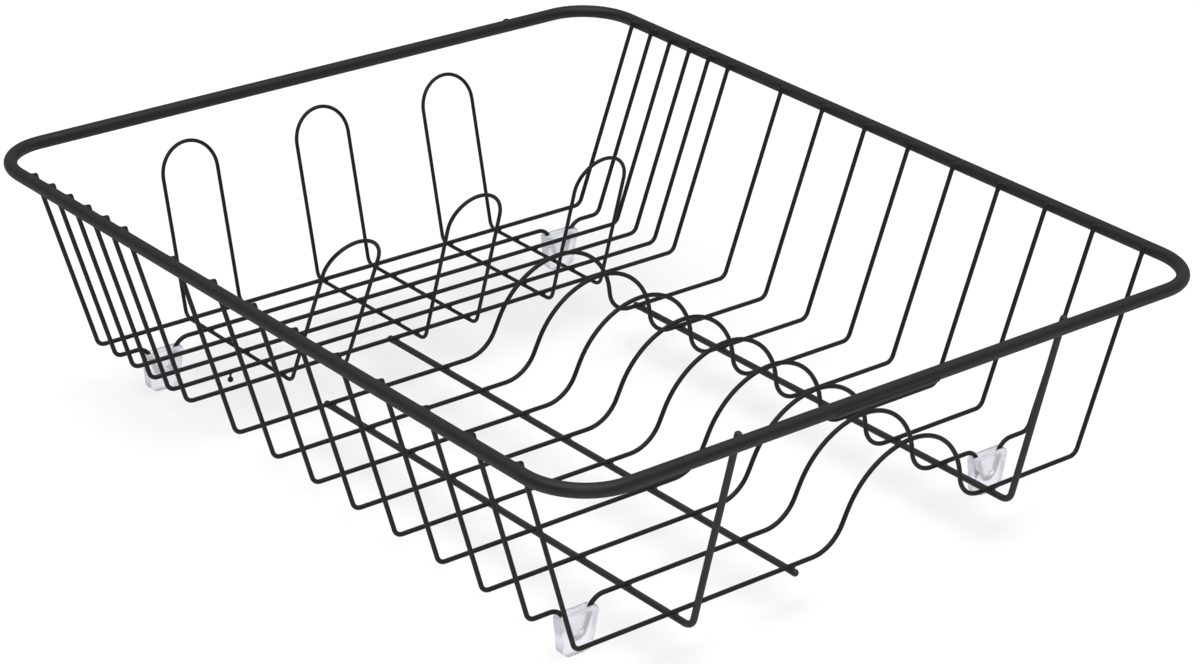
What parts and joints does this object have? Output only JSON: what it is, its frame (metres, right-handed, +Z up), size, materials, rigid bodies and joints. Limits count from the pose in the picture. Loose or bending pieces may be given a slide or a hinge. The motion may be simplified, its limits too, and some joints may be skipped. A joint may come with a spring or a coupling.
{
  "type": "dish drying rack",
  "caption": "Open basket of coated steel wire with humped cross wires that hold plates on edge, closed arches for cups, and clear moulded feet.",
  "frame": {"origin": "middle of the rack's footprint, on the surface that the feet stand on", "axes": "+X along the rack from the cup end to the plate end, +Y across it towards the side that the humps fall steeply to, +Z up"},
  "size_m": [0.4606, 0.4, 0.1285],
  "materials": {
    "coated_rod": "satin black dip coating on steel rod",
    "coated_wire": "satin black dip coating on steel wire",
    "clear_foot": "clear moulded plastic with a faint cool tint"
  },
  "bodies": {
    "root": {"rim": "coated_rod", "rim_strap": "coated_rod", "cup_wire_1": "coated_wire", "cup_wire_2": "coated_wire", "cup_wire_3": "coated_wire", "cup_wire_4": "coated_wire", "cup_wire_5": "coated_wire", "cup_wire_6": "coated_wire", "plate_wire_1": "coated_wire", "plate_wire_2": "coated_wire", "plate_wire_3": "coated_wire", "plate_wire_4": "coated_wire", "plate_wire_5": "coated_wire", "plate_wire_6": "coated_wire", "plate_wire_7": "coated_wire", "plate_wire_8": "coated_wire", "plate_wire_9": "coated_wire", "cup_loop_1": "coated_wire", "cup_loop_2": "coated_wire", "cup_loop_3": "coated_wire", "left_floor_rod": "coated_wire", "middle_floor_rod": "coated_wire", "right_floor_rod": "coated_wire", "foot_1": "clear_foot", "foot_2": "clear_foot", "foot_3": "clear_foot", "foot_4": "clear_foot"}
  },
  "joints": []
}
